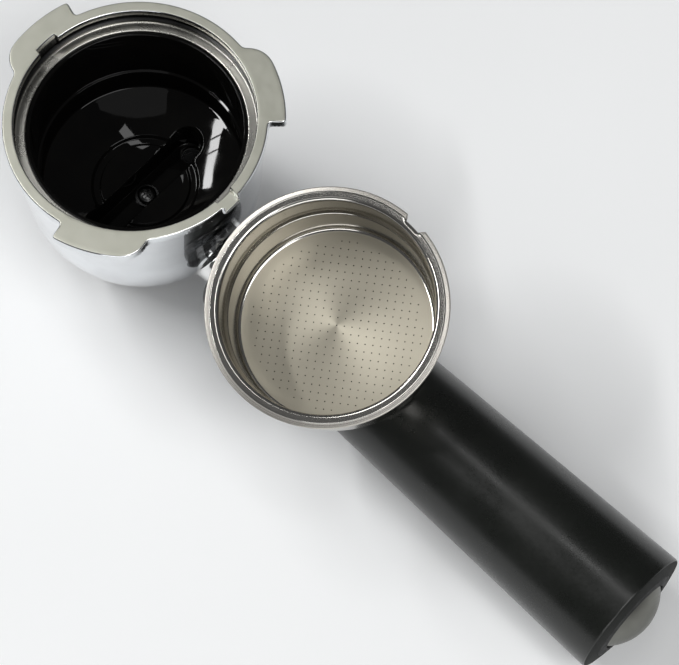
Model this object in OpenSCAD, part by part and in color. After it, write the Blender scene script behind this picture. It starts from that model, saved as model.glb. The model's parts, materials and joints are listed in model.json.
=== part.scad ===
// Coffee filter holder with a loose filter basket leaning on its handle.
// The origin is the centre of the locking ring's top face. +Z is up, and +X points along the handle.

/* [Locking ring] */
// Bore that takes the basket's flange
ring_bore_d = 61.1; // [60.9:0.1:61.4]
// Outside of the ring
ring_d = 66.8; // [66.4:0.2:68]
// Depth of the bore down to the basket's ledge
ledge_depth = 6; // [5.5:0.5:7]
// Circle over the three locking lugs
lug_d = 75.8; // [75:0.2:77]
// Thickness of a lug
lug_t = 2.8; // [2.4:0.2:3.6]
// Width of the tab slot over the handle
front_slot_w = 5.1; // [4:0.1:6]
// Width of the tab recess opposite the handle
rear_slot_w = 6.3; // [5:0.1:7]

/* [Cup] */
// Diameter of the cup under the ring
cup_d = 66; // [65.4:0.2:66.4]
// Diameter of the cup where it turns under
cup_low_d = 62; // [61.5:0.5:63]
// Inside of the cup below the ledge
cup_bore_d = 56.1; // [55.5:0.1:56.5]
// Height of the metal holder
holder_h = 49.3; // [48.9:0.1:50]

/* [Handle] */
// Height of the handle's axis below the ring, at the cup's axis
axis_drop = 36; // [35.5:0.5:37]
// Slope of the handle down from the ring's plane, in degrees
handle_tilt = 2.8; // [2:0.1:3.5]
// Diameter of the grip at the collar
grip_near_d = 27; // [26.5:0.1:28]
// Diameter of the grip at its end
grip_far_d = 35.1; // [34.2:0.1:35.7]
// Distance from the cup's axis to the grip
grip_start = 35; // [34.5:0.5:36]
// Length of the grip
grip_len = 134; // [131:0.5:137]
// Slope of the grip's crowned end at its edge, in degrees
crown_slope = 14; // [8:1:16]
// Height of the domed end cap above the grip's end
cap_h = 3.7; // [3:0.1:4.4]
// Diameter of the domed end cap
cap_d = 20.4; // [19.2:0.2:21.6]

/* [Basket] */
// Outside of the basket's flange
flange_d = 60.3; // [60:0.1:60.6]
// Inside of the basket at its mouth
basket_bore_d = 53; // [52.6:0.2:53.4]
// Inside of the basket below its step
basket_low_d = 50; // [49.4:0.2:50.4]
// Depth of the perforated floor
floor_depth = 22.5; // [21:0.5:23]
// Whole height of the basket
basket_h = 26.6; // [26:0.1:26.8]
// Sheet thickness
sheet_t = 0.6; // [0.5:0.1:0.7]

/* [Basket's place on the handle] */
// Centre of the flange along the handle
basket_x = 71.1; // [70.5:0.1:73]
// Centre of the flange across the handle
basket_y = -5.3; // [-5.8:0.1:-4.8]
// Centre of the flange above the ring
basket_z = 3; // [3:0.1:5]
// Lean of the basket, in degrees
basket_lean = 12.4; // [11.5:0.1:13]
// Direction of the lean, in degrees from the handle
basket_lean_dir = -71.5; // [-75:0.5:-68]

/* [Hidden] */
$fn = 96;

// A gap wide enough to keep two pieces of one body from sharing a face's volume
fit_gap = 0.05;
// Room between the tie rod and its threads, on the radius
rod_play = 0.02;
// A cut runs this far past the face that it opens
past = 1;

// Ring
lug_lead = -18.5;         // angle of a lug's steep end
lug_tail = 8.2;           // angle at which its other end starts to round off
lug_tail_r = 7;
slot_drop = 1.8;          // depth of the slot over the handle
bridge_out = 0.8;         // how far the slot's floor stands out of the ring
bridge_w = front_slot_w + 0.6;
ring_t = (ring_d - ring_bore_d) / 2;

// Cup and its inside
turn_z = -25;             // where the cup's wall turns under
turn_r = 18;              // where its bottom becomes flat
base_r = 21.5;            // flat pad under the cup
cavity_turn_z = -30;
cavity_turn_r = 17.5;
cavity_z = -46.7;         // flat floor inside the cup
groove_top = -2.2;        // undercut that holds the basket's tabs
groove_low = -4.8;
groove_r = 31.9;

// Liner
liner_top = -ledge_depth - 0.2;
liner_r = cup_bore_d / 2 - fit_gap;
liner_bore_r = 26.9;      // above the liner's step
liner_low_r = 26.2;       // below it
liner_step_z = -25.4;
dish_edge_z = -33;
dish_z = -38.5;           // the floor's middle
dish_r = 14;
liner_t = 1.8;
rib_r = 12.5;             // round groove in the floor
trough_w = 8.4;           // channel that runs across the handle's line
trough_y = 15.5;
trough_wall = 1.5;
trough_z = -45.5;
outlet_y = 16.5;          // the two ways down to the spouts
outlet_r = 2.6;
gasket_t = 0.8;

// Spout
seal_t = 0.6;
spout_top = -holder_h - seal_t;
spout_plate_t = 2.5;
spout_r = 21;
boss_r = 6.5;
insert_r = 4;
screw_r = 2;
head_r = 2.6;

// Handle: places along its axis, from the cup's axis
grip_end = grip_start + grip_len;
grip_edge_r = 0.8;
crown_run = grip_far_d / 2 - grip_edge_r;
crown_r = crown_run / sin(crown_slope) + grip_edge_r;
crown_at = grip_end - grip_edge_r - crown_run / tan(crown_slope);   // middle of the crown's sphere
neck_start = 20;
neck_r = 9;
collar_len = 2;
collar_near_r = 12.2;
key_start = 31;            // square end of the neck, which keeps the grip from turning
key_w = 10.5;
key_end = 51;
rod_start = 36;
rod_r = 3;
nut_seat = 151;
washer_t = 1.2;
nut_h = 5;
plug_start = grip_end - 6;
plug_r = 13;
cap_seat_depth = 1.2;
cap_seat = crown_z(cap_d / 2) - cap_seat_depth;
cap_side_h = 0.4;

// The spouts end on the same level as the grip's lowest edge
rest_z = -(axis_drop + (grip_end - grip_edge_r) * sin(handle_tilt)
  + (grip_far_d / 2 - grip_edge_r) * cos(handle_tilt) + grip_edge_r);

// Points along an elliptic arc, from angle a0 to a1
function arc(cx, cy, rx, ry, a0, a1, steps = 12) =
  [for (i = [0:steps]) let (a = a0 + (a1 - a0) * i / steps) [cx + rx * cos(a), cy + ry * sin(a)]];

function polar(r, a) = [r * cos(a), r * sin(a)];

// Place of the grip's crowned end along the axis, at a radius
function crown_z(r) = crown_at + sqrt(crown_r * crown_r - r * r);

// Local +Z runs outward along the handle's axis
module on_handle(s = 0) {
  translate([0, 0, -axis_drop]) rotate([0, 90 + handle_tilt, 0]) translate([0, 0, s]) children();
}

// Local +Z points out of the leaning basket's mouth, from the middle of its flange
module on_basket() {
  translate([basket_x, basket_y, basket_z]) rotate([0, basket_lean, basket_lean_dir]) children();
}

module ring(r_out, r_in, z0, z1) {
  rotate_extrude() translate([r_in, z0]) square([r_out - r_in, z1 - z0]);
}

// A round-ended slot across the handle's line
module slot_2d(w, y) {
  square([w, 2 * y], center = true);
  for (side = [-1, 1]) translate([0, side * y]) circle(d = w);
}

// One lug, about +X: steep at its leading end and rounded off at its trailing end
module lug() {
  lug_r = lug_d / 2;
  root_r = ring_d / 2 - 1;
  outer_r = lug_r + 6;
  translate([0, 0, -lug_t]) linear_extrude(lug_t) {
    intersection() {
      circle(r = lug_r);
      polygon([polar(root_r, lug_lead), polar(outer_r, lug_lead),
        polar(outer_r, lug_tail), polar(root_r, lug_tail)]);
    }
    translate(polar(lug_r - lug_tail_r, lug_tail)) circle(r = lug_tail_r);
  }
}

// ---- Metal holder ----
module holder_outside() {
  rotate_extrude() polygon(concat(
    [[0, 0], [ring_d / 2 - 0.4, 0], [ring_d / 2, -0.4], [ring_d / 2, -lug_t], [cup_d / 2, -lug_t - 0.6]],
    arc(turn_r, turn_z, cup_low_d / 2 - turn_r, holder_h + turn_z, 0, -90),
    [[0, -holder_h]]));
  translate([0, 0, -holder_h]) cylinder(r = base_r, h = 6);
  for (a = [60, 180, 300]) rotate(a) lug();
  translate([ring_d / 2 - past, -bridge_w / 2, -lug_t])
    cube([past + bridge_out, bridge_w, lug_t - slot_drop]);
}

module holder_inside() {
  rotate_extrude() polygon(concat(
    [[0, past], [ring_bore_d / 2, past], [ring_bore_d / 2, groove_top], [groove_r, groove_top - 0.6],
      [groove_r, groove_low + 0.6], [ring_bore_d / 2, groove_low], [ring_bore_d / 2, -ledge_depth],
      [cup_bore_d / 2, -ledge_depth]],
    arc(cavity_turn_r, cavity_turn_z, cup_bore_d / 2 - cavity_turn_r, cavity_turn_z - cavity_z, 0, -90),
    [[0, cavity_z]]));
}

module filter_holder() {
  color("silver") difference() {
    holder_outside();
    holder_inside();
    // Slots that let the basket's tabs in
    translate([ring_bore_d / 2 - past, -front_slot_w / 2, -slot_drop])
      cube([ring_t + bridge_out + 2 * past, front_slot_w, slot_drop + past]);
    translate([-groove_r, -rear_slot_w / 2, groove_top - past])
      cube([groove_r - ring_bore_d / 2 + past, rear_slot_w, 2 * past - groove_top]);
    // Pocket of the liner's trough and gasket
    translate([0, 0, cavity_z - gasket_t])
      linear_extrude(6) slot_2d(trough_w + 2 * (trough_wall + fit_gap), trough_y);
    for (side = [-1, 1])
      translate([0, side * outlet_y, -holder_h - past]) cylinder(r = outlet_r, h = 5);
    translate([0, 0, -holder_h - past]) cylinder(r = screw_r + 0.3, h = 5);
  }
}

// Stem that stands out of the cup's side and carries the grip
module neck_stem() {
  color("silver") difference() {
    union() {
      on_handle(neck_start) cylinder(r = neck_r, h = grip_start - neck_start);
      on_handle(key_start) translate([-key_w / 2, -key_w / 2, 0]) cube([key_w, key_w, key_end - key_start]);
    }
    holder_outside();
    on_handle(rod_start - past) cylinder(r = rod_r, h = key_end - rod_start + 2 * past);
  }
}

// ---- Plastic liner and what holds it ----
module liner() {
  color("black") difference() {
    union() {
      rotate_extrude() polygon([
        [0, dish_z], [rib_r - 0.6, dish_z], [rib_r - 0.3, dish_z - 0.6], [rib_r + 0.3, dish_z - 0.6],
        [rib_r + 0.6, dish_z], [dish_r, dish_z], [24.5, dish_edge_z - 1], [liner_low_r, dish_edge_z],
        [liner_low_r, liner_step_z], [liner_bore_r, liner_step_z + 0.5], [liner_bore_r, liner_top],
        [liner_r, liner_top], [liner_r, cavity_turn_z + 0.2], [26.2, dish_edge_z - liner_t - 1],
        [dish_r, dish_z - liner_t], [0, dish_z - liner_t]]);
      translate([0, 0, cavity_z])
        linear_extrude(dish_z - cavity_z - 0.8) slot_2d(trough_w + 2 * trough_wall, trough_y);
    }
    translate([0, 0, trough_z]) linear_extrude(12) slot_2d(trough_w, trough_y);
    for (side = [-1, 1])
      translate([0, side * outlet_y, cavity_z - past]) cylinder(r = outlet_r, h = 4);
    translate([0, 0, cavity_z - past]) cylinder(r = screw_r + 0.3, h = 4);
  }
}

module liner_gasket() {
  color("dimgray") translate([0, 0, cavity_z - gasket_t]) linear_extrude(gasket_t) difference() {
    slot_2d(trough_w + 2 * trough_wall, trough_y);
    for (side = [-1, 1]) translate([0, side * outlet_y]) circle(r = outlet_r);
    circle(r = screw_r + 0.3);
  }
}

module screw_washer() {
  color("silver") ring(head_r + 0.5, screw_r + 0.2, trough_z, trough_z + washer_t / 2);
}

module centre_screw() {
  head_z = trough_z + washer_t / 2;
  color("silver") difference() {
    union() {
      rotate_extrude()
        polygon(concat([[0, head_z], [head_r, head_z]], arc(0, head_z + 0.5, head_r, 0.9, 0, 90)));
      translate([0, 0, spout_top - 8]) cylinder(r = screw_r, h = head_z - spout_top + 8);
    }
    for (a = [0, 90]) rotate(a)
      translate([-1.4, -0.35, head_z + 0.8]) cube([2.8, 0.7, 2]);
  }
}

// ---- Spout ----
module spout_seal() {
  color("dimgray") translate([0, 0, spout_top]) linear_extrude(seal_t) difference() {
    circle(r = spout_r);
    for (side = [-1, 1]) translate([0, side * outlet_y]) circle(r = outlet_r);
    circle(r = screw_r + 0.3);
  }
}

module twin_spout() {
  plate_low = spout_top - spout_plate_t;
  color([0.1, 0.1, 0.1]) difference() {
    union() {
      ring(spout_r, 0, plate_low, spout_top);
      for (side = [-1, 1]) translate([0, side * outlet_y, rest_z])
        cylinder(r1 = 4.4, r2 = 5.4, h = plate_low - rest_z + 0.5, $fn = 48);
      translate([0, 0, spout_top - 10]) cylinder(r = boss_r, h = 10);
      translate([-1.5, -outlet_y, plate_low - 4]) cube([3, 2 * outlet_y, 4.5]);
    }
    for (side = [-1, 1])
      translate([0, side * outlet_y, rest_z - past])
        cylinder(r = outlet_r, h = spout_top - rest_z + 2 * past);
    translate([0, 0, spout_top - 9]) cylinder(r = insert_r, h = 8);
    translate([0, 0, spout_top - 9]) cylinder(r = screw_r + 0.3, h = 9 + past);
  }
}

module spout_insert() {
  color("goldenrod") ring(insert_r, screw_r, spout_top - 9, spout_top - 1);
}

// ---- Handle ----
module neck_collar() {
  color("dimgray") on_handle() rotate_extrude() polygon([
    [neck_r + fit_gap, grip_start - collar_len], [collar_near_r, grip_start - collar_len],
    [grip_near_d / 2, grip_start - collar_len / 2], [grip_near_d / 2, grip_start],
    [neck_r + fit_gap, grip_start]]);
}

module handle_grip() {
  r0 = grip_near_d / 2;
  color([0.13, 0.14, 0.13]) difference() {
    on_handle() rotate_extrude() polygon(concat(
      [[0, grip_start], [r0 - 0.6, grip_start], [r0, grip_start + 0.6]],
      arc(crown_run, grip_end - grip_edge_r, grip_edge_r, grip_edge_r, 0, 90 - crown_slope, 6),
      arc(0, crown_at, crown_r, crown_r, 90 - 0.9 * crown_slope, 90, 12)));
    on_handle(grip_start - past) translate([-key_w / 2 - fit_gap, -key_w / 2 - fit_gap, 0])
      cube([key_w + 2 * fit_gap, key_w + 2 * fit_gap, key_end - grip_start + past + 0.3]);
    on_handle(key_end - past) cylinder(r = rod_r + 0.3, h = nut_seat - key_end + 2 * past);
    on_handle(nut_seat) cylinder(r = 10, h = 30);
    on_handle(plug_start) cylinder(r = plug_r, h = 30);
  }
}

module tie_rod() {
  color("gray") on_handle(rod_start)
    cylinder(r = rod_r - rod_play, h = nut_seat + 2 * washer_t + nut_h + 1.6 - rod_start);
}

module rod_washer() {
  color("silver") on_handle(nut_seat) ring(7, rod_r + 0.2, 0, washer_t);
}

// A split spring washer
module spring_washer() {
  color("gray") on_handle(nut_seat + washer_t) difference() {
    ring(5.4, rod_r + 0.2, 0, washer_t);
    translate([0, -0.5, -past]) cube([8, 1, washer_t + 2 * past]);
  }
}

module rod_nut() {
  color("silver") on_handle(nut_seat + 2 * washer_t) difference() {
    cylinder(d = 10 / cos(30), h = nut_h, $fn = 6);
    translate([0, 0, -past]) cylinder(r = rod_r, h = nut_h + 2 * past);
  }
}

module end_plug() {
  r_hole = cap_d / 2 + 0.1;
  color([0.08, 0.08, 0.08]) on_handle() rotate_extrude() polygon([
    [3.05, plug_start], [plug_r - fit_gap, plug_start], [plug_r - fit_gap, crown_z(plug_r) - fit_gap],
    [r_hole, crown_z(r_hole) - fit_gap], [r_hole, cap_seat], [3.05, cap_seat]]);
}

module end_cap() {
  rise = cap_h + cap_seat_depth - cap_side_h;
  dome_r = ((cap_d / 2) * (cap_d / 2) + rise * rise) / (2 * rise);
  dome_a = asin((dome_r - rise) / dome_r);
  color("darkgray") on_handle() rotate_extrude() polygon(concat(
    [[0, plug_start + 0.5], [3, plug_start + 0.5], [3, cap_seat], [cap_d / 2, cap_seat]],
    arc(0, cap_seat + cap_side_h + rise - dome_r, dome_r, dome_r, dome_a, 90, 16)));
}

// ---- Basket ----
module basket_cup() {
  r_mouth = basket_bore_d / 2;
  r_low = basket_low_d / 2;
  step_z = -9.6;
  corner = 1.2;
  notch_a = 157;
  notch_w = 5.2;
  notch_depth = 1.5;
  color("silver") on_basket() difference() {
    rotate_extrude() polygon(concat(
      [[0, -floor_depth - sheet_t], [r_low - corner, -floor_depth - sheet_t]],
      arc(r_low - corner, -floor_depth + corner, corner + sheet_t, corner + sheet_t, -90, 0, 6),
      [[r_low + sheet_t, step_z - 1.2], [r_mouth + sheet_t, step_z], [r_mouth + sheet_t, -1],
        [flange_d / 2 - 0.3, -1], [flange_d / 2, -0.7], [flange_d / 2, -0.3], [flange_d / 2 - 0.3, 0],
        [r_mouth + 1.2, 0], [r_mouth, -1.2], [r_mouth, step_z + 0.4], [r_low, step_z - 0.8]],
      arc(r_low - corner, -floor_depth + corner, corner, corner, 0, -90, 6),
      [[0, -floor_depth]]));
    // Locating notch in the flange
    rotate(notch_a) translate([flange_d / 2 - notch_depth, -notch_w / 2, -1 - past])
      cube([notch_depth + past, notch_w, 1 + 2 * past]);
  }
}

module basket_base() {
  r_in = basket_low_d / 2 + sheet_t;
  color("gainsboro") on_basket() rotate_extrude() polygon([
    [0.6, -basket_h + 0.8 + sheet_t], [17, -basket_h + 0.8 + sheet_t], [18.5, -basket_h + sheet_t],
    [r_in - 1, -basket_h + sheet_t], [r_in, -basket_h + sheet_t + 1], [r_in, -14.5],
    [r_in + sheet_t, -14.5], [r_in + sheet_t, -basket_h + 1], [r_in - 0.4, -basket_h],
    [18.2, -basket_h], [16.7, -basket_h + 0.8], [0.6, -basket_h + 0.8]]);
}

filter_holder();
neck_stem();
liner();
liner_gasket();
centre_screw();
screw_washer();
spout_seal();
twin_spout();
spout_insert();
neck_collar();
handle_grip();
tie_rod();
rod_washer();
spring_washer();
rod_nut();
end_plug();
end_cap();
basket_cup();
basket_base();
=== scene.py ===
"""Espresso filter holder with its loose basket: the looks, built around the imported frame.

Shapes are worked out in millimetres, in the frame or in a piece's own axes, and piece() turns them
into metres. Where a size can be had from the frame, it comes from there.
"""
import json
import math

import bmesh
import bpy
import numpy as np
from mathutils import Matrix, Vector
from mathutils.geometry import delaunay_2d_cdt


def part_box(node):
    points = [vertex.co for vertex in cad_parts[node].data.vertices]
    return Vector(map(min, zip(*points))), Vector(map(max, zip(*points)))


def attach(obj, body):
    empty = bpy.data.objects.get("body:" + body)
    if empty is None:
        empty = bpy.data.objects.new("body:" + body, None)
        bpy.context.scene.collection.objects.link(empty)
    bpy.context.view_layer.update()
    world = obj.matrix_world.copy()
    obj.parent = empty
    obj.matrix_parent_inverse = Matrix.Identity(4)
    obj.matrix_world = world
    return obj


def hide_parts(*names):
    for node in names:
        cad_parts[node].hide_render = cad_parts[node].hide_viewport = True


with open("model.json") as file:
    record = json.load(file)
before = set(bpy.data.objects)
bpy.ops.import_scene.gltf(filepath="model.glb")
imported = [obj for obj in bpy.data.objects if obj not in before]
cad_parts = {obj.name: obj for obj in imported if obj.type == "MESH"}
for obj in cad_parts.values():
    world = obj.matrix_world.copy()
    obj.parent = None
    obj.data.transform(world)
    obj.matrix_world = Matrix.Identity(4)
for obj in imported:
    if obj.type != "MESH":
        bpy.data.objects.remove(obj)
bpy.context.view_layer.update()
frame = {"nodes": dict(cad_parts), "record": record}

MM = 0.001

# ---- Sizes that the frame gives ----
seat = next(m for m in frame["record"]["mounts"] if m["name"] == "basket_seat")["dims"]
holder_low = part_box("filter_holder")[0] / MM
SEAT_R = seat["r_mm"]
LEDGE_Z = -seat["length_mm"]
LUG_R = -holder_low.x
PAD_Z = holder_low.z
REST_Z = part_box("twin_spout")[0].z / MM

# ---- Ring ----
RING_R = 33.4
LUG_T = 2.8
LUG_LEAD = -18.5        # angle of a lug's steep end
LUG_TAIL = 8.2          # angle at which its other end starts to round off
LUG_TAIL_R = 7.0
LUG_AT = (60, 180, 300)
LUG_PITCH = 120
SLOT_W = 5.1            # slot over the handle
SLOT_DROP = 1.8
BRIDGE_OUT = 0.8        # how far the slot's floor stands out of the ring
RECESS_W = 6.3          # recess opposite the handle
WALL_BLEND = 0.22       # half the run of the slot's and the recess's walls
GROOVE_R = 31.9
GROOVE_TOP = -2.2
GROOVE_LOW = -4.8
BORE_EDGE_R = 0.35      # rounded edges: at the bore, at the rim and under the lugs
RIM_EDGE_R = 0.5
UNDER_EDGE_R = 0.3
OUTLINE_STEP = 0.05     # spacing of the points that the ring's outline is made from
CORNER_BLUR = 0.75      # how far its corners are rounded
TURNING_BLUR = 2.0      # how far the change of azimuth is evened out around them
RING_COLUMNS = 1100

# ---- Cup ----
CUP_TOP_R = 33.0
CUP_LOW_R = 31.0
TURN_Z = -25.0
TURN_R = 18.0
PAD_R = 21.5
CAVITY_R = 28.05
CAVITY_TURN_Z = -30.0
CAVITY_FLOOR_R = 22.0
CAVITY_FLOOR_Z = -47.5

# ---- Liner ----
LINER_TOP = LEDGE_Z - 0.2
LINER_BORE_R = 26.9
LINER_LOW_R = 26.2
LINER_STEP_Z = -25.4
LINER_OUT_R = CAVITY_R - 0.05
LINER_T = 1.8
DISH_EDGE_Z = -33.0
DISH_Z = -38.5
DISH_FLAT_R = 9         # the dish starts to rise here
DISH_GROOVE_R = 12.7
DISH_GROOVE_DEPTH = 0.7
TROUGH_W = 8.4
TROUGH_Y = 15.5
TROUGH_Z = -45.5
TROUGH_LOW = -46.7
TROUGH_WALL = 1.5
TROUGH_LIP_R = 0.5
TROUGH_FLOOR_R = 0.3
OUTLET_Y = 16.5
OUTLET_R = 2.6
OUTLETS = ((0, -OUTLET_Y), (0, OUTLET_Y))

# ---- Spout ----
SPOUT_TOP = PAD_Z - 0.6
SPOUT_LOW = SPOUT_TOP - 2.5
SPOUT_R = 21.0
SCREW_END = SPOUT_TOP - 8
BOSS_END = SPOUT_TOP - 10

# ---- Handle, along its own axis from the cup's axis ----
AXIS_DROP = 36.0
HANDLE_TILT = 2.8
NECK_R = 9.0
NECK_FLARE = 1.4        # fillet where the neck leaves the cup
KEY_W = 10.5            # square end of the neck, inside the grip
KEY_END = 51.0
COLLAR_AT = 33.0
COLLAR_R = 12.2
GRIP_AT = 35.0
GRIP_END = 169.0
GRIP_NEAR_R = 13.5
GRIP_FAR_R = 17.55
GRIP_EDGE_R = 0.8
CROWN_SLOPE = 14.0      # slope of the grip's crowned end at its edge
KEY_HOLE_R = 7.6
ROD_HOLE_R = 3.3
NUT_HOLE_R = 10
NUT_SEAT = 151.0
PLUG_R = 13.0
PLUG_SEAT = GRIP_END - 6
CAP_R = 10.2
CAP_H = 3.7

# ---- Basket, in its own axes from the middle of its flange ----
BASKET_AT = (71.1, -5.3, 3.0)
BASKET_LEAN = 12.4
BASKET_LEAN_DIR = -71.5
FLANGE_R = 30.15
BEAD_R = 28.8
LIP_R = 29.0
MOUTH_R = 26.5
LOW_R = 25.0
FLOOR_Z = -22.5
FLOOR_CORNER = 1.2
BASKET_H = 26.6
SHEET_T = 0.6
STEP_Z = -9.6
NOTCH_AT = 157.0
NOTCH_W = 5.2
NOTCH_DEPTH = 1.5
PITCH = 1.95            # spacing of the perforations
PITCH_TURN = 15.4
HOLE_R = 0.155
HOLES_WITHIN = 21.7
BASE_TOP = -14.5
BASE_RAISED = 0.8       # how far the middle of the base stands above its rim


def turn(degrees, axis):
    return Matrix.Rotation(math.radians(degrees), 4, axis)


ON_HANDLE = Matrix.Translation((0, 0, -AXIS_DROP * MM)) @ turn(90 + HANDLE_TILT, "Y")
ON_BASKET = (Matrix.Translation(Vector(BASKET_AT) * MM)
             @ turn(BASKET_LEAN_DIR, "Z") @ turn(BASKET_LEAN, "Y"))
IN_FRAME = Matrix.Identity(4)


# ---- Shapes ----
def polar(r, degrees):
    a = np.radians(degrees)
    return np.stack([r * np.cos(a), r * np.sin(a)], -1)


def even_angles(count):
    """That many angles, in degrees, spread evenly over a full turn."""
    return np.linspace(0, 360, count, endpoint=False)


def smoothstep(t):
    t = np.clip(t, 0, 1)
    return t * t * (3 - 2 * t)


def with_z(loop, z):
    return np.column_stack([loop, np.broadcast_to(z, len(loop))])


def rounded_edge(radius, steps):
    """For each step over a rounded edge: how far it has gone in, and how far it still has to go."""
    for a in np.linspace(0, math.pi / 2, steps + 1):
        yield radius * (1 - math.cos(a)), radius * (1 - math.sin(a))


def filleted(corners, steps=6):
    """The closed outline through (r, z, fillet radius) corners."""
    longest = 0.49          # share of a side that one fillet may take
    out = []
    for i, (x, y, radius) in enumerate(corners):
        here = np.array((x, y))
        to_last = np.array(corners[i - 1][:2]) - here
        to_next = np.array(corners[(i + 1) % len(corners)][:2]) - here
        if radius <= 0:
            out.append(here)
            continue
        a = to_last / np.linalg.norm(to_last)
        b = to_next / np.linalg.norm(to_next)
        half = math.acos(np.clip(a @ b, -1, 1)) / 2
        cut = min(radius / math.tan(half), longest * np.linalg.norm(to_last),
                  longest * np.linalg.norm(to_next))
        radius = cut * math.tan(half)
        centre = here + (a + b) / np.linalg.norm(a + b) * radius / math.sin(half)
        start = math.atan2(*(here + a * cut - centre)[::-1])
        sweep = math.atan2(*(here + b * cut - centre)[::-1]) - start
        sweep = (sweep + math.pi) % (2 * math.pi) - math.pi
        for k in range(steps + 1):
            angle = start + sweep * k / steps
            out.append(centre + radius * np.array((math.cos(angle), math.sin(angle))))
    return [tuple(p) for p in out]


class Shell:
    """Collects the points and faces of one mesh, in millimetres."""

    def __init__(self):
        self.points = []
        self.faces = []

    def add(self, points):
        start = len(self.points)
        self.points.extend(tuple(float(v) for v in p) for p in points)
        return start

    def strip(self, rows):
        """Faces between closed loops that follow each other and have as many points."""
        count = len(rows[0])
        starts = [self.add(row) for row in rows]
        for lower, upper in zip(starts, starts[1:]):
            for i in range(count):
                j = (i + 1) % count
                self.faces.append((lower + i, lower + j, upper + j, upper + i))

    def cap(self, loop, tip):
        start = self.add(loop)
        end = self.add([tip])
        for i in range(len(loop)):
            self.faces.append((start + i, start + (i + 1) % len(loop), end))

    def revolve(self, profile, steps=192):
        """A closed outline of (r, z) points, turned about the Z axis."""
        on_axis = 1e-6
        ring = even_angles(steps)
        for (r0, z0), (r1, z1) in zip(profile, profile[1:] + profile[:1]):
            if r0 < on_axis and r1 < on_axis:
                continue
            loops = [with_z(polar(r0, ring), z0), with_z(polar(r1, ring), z1)]
            if r0 < on_axis:
                self.cap(loops[1], (0, 0, z0))
            elif r1 < on_axis:
                self.cap(loops[0], (0, 0, z1))
            else:
                self.strip(loops)

    def plate(self, loops, height, keep, inner=()):
        """Fills inside the first loop where keep(x, y) says so, at height(x, y)."""
        flat, edges = [], []
        for loop in loops:
            start = len(flat)
            flat += [Vector((float(p[0]), float(p[1]))) for p in loop]
            edges += [(start + i, start + (i + 1) % len(loop)) for i in range(len(loop))]
        flat += [Vector((float(x), float(y))) for x, y in inner]
        found, _, triangles, *_ = delaunay_2d_cdt(flat, edges, [], 1, 1e-6)
        xy = np.array([tuple(p) for p in found])
        start = self.add(np.column_stack([xy, height(xy[:, 0], xy[:, 1])]))
        middles = np.array([xy[list(t)].mean(0) for t in triangles])
        wanted = keep(middles[:, 0], middles[:, 1])
        self.faces += [tuple(start + i for i in t) for t, yes in zip(triangles, wanted) if yes]


def at_height(z):
    return lambda x, y: np.full(len(x), float(z))


def outlet_loops():
    return [polar(OUTLET_R, even_angles(32)) + middle for middle in OUTLETS]


def outside_outlets(x, y):
    clear = np.ones(len(x), bool)
    for middle_x, middle_y in OUTLETS:
        clear &= np.hypot(x - middle_x, y - middle_y) > OUTLET_R * 0.999
    return clear


def piece(name, shell, place, body, looks, stands_for):
    """Makes the object, closes its seams, hangs it on its body, and hides the CAD nodes that it
    stands for.
    """
    seam, sliver, sharp = 0.002, 0.0005, 42
    mesh = bpy.data.meshes.new(name)
    mesh.from_pydata([tuple(v * MM for v in p) for p in shell.points], [], shell.faces)
    work = bmesh.new()
    work.from_mesh(mesh)
    bmesh.ops.remove_doubles(work, verts=work.verts, dist=seam * MM)
    bmesh.ops.dissolve_degenerate(work, edges=work.edges, dist=sliver * MM)
    bmesh.ops.recalc_face_normals(work, faces=work.faces)
    work.to_mesh(mesh)
    work.free()
    mesh.shade_smooth()
    mesh.set_sharp_from_angle(angle=math.radians(sharp))
    for look in looks:
        mesh.materials.append(look)
    made = bpy.data.objects.new(name, mesh)
    bpy.context.scene.collection.objects.link(made)
    made.matrix_world = place
    weighted = made.modifiers.new("flat_faces_stay_flat", "WEIGHTED_NORMAL")
    weighted.keep_sharp = True
    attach(made, body)
    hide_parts(*stands_for)
    return made


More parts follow.
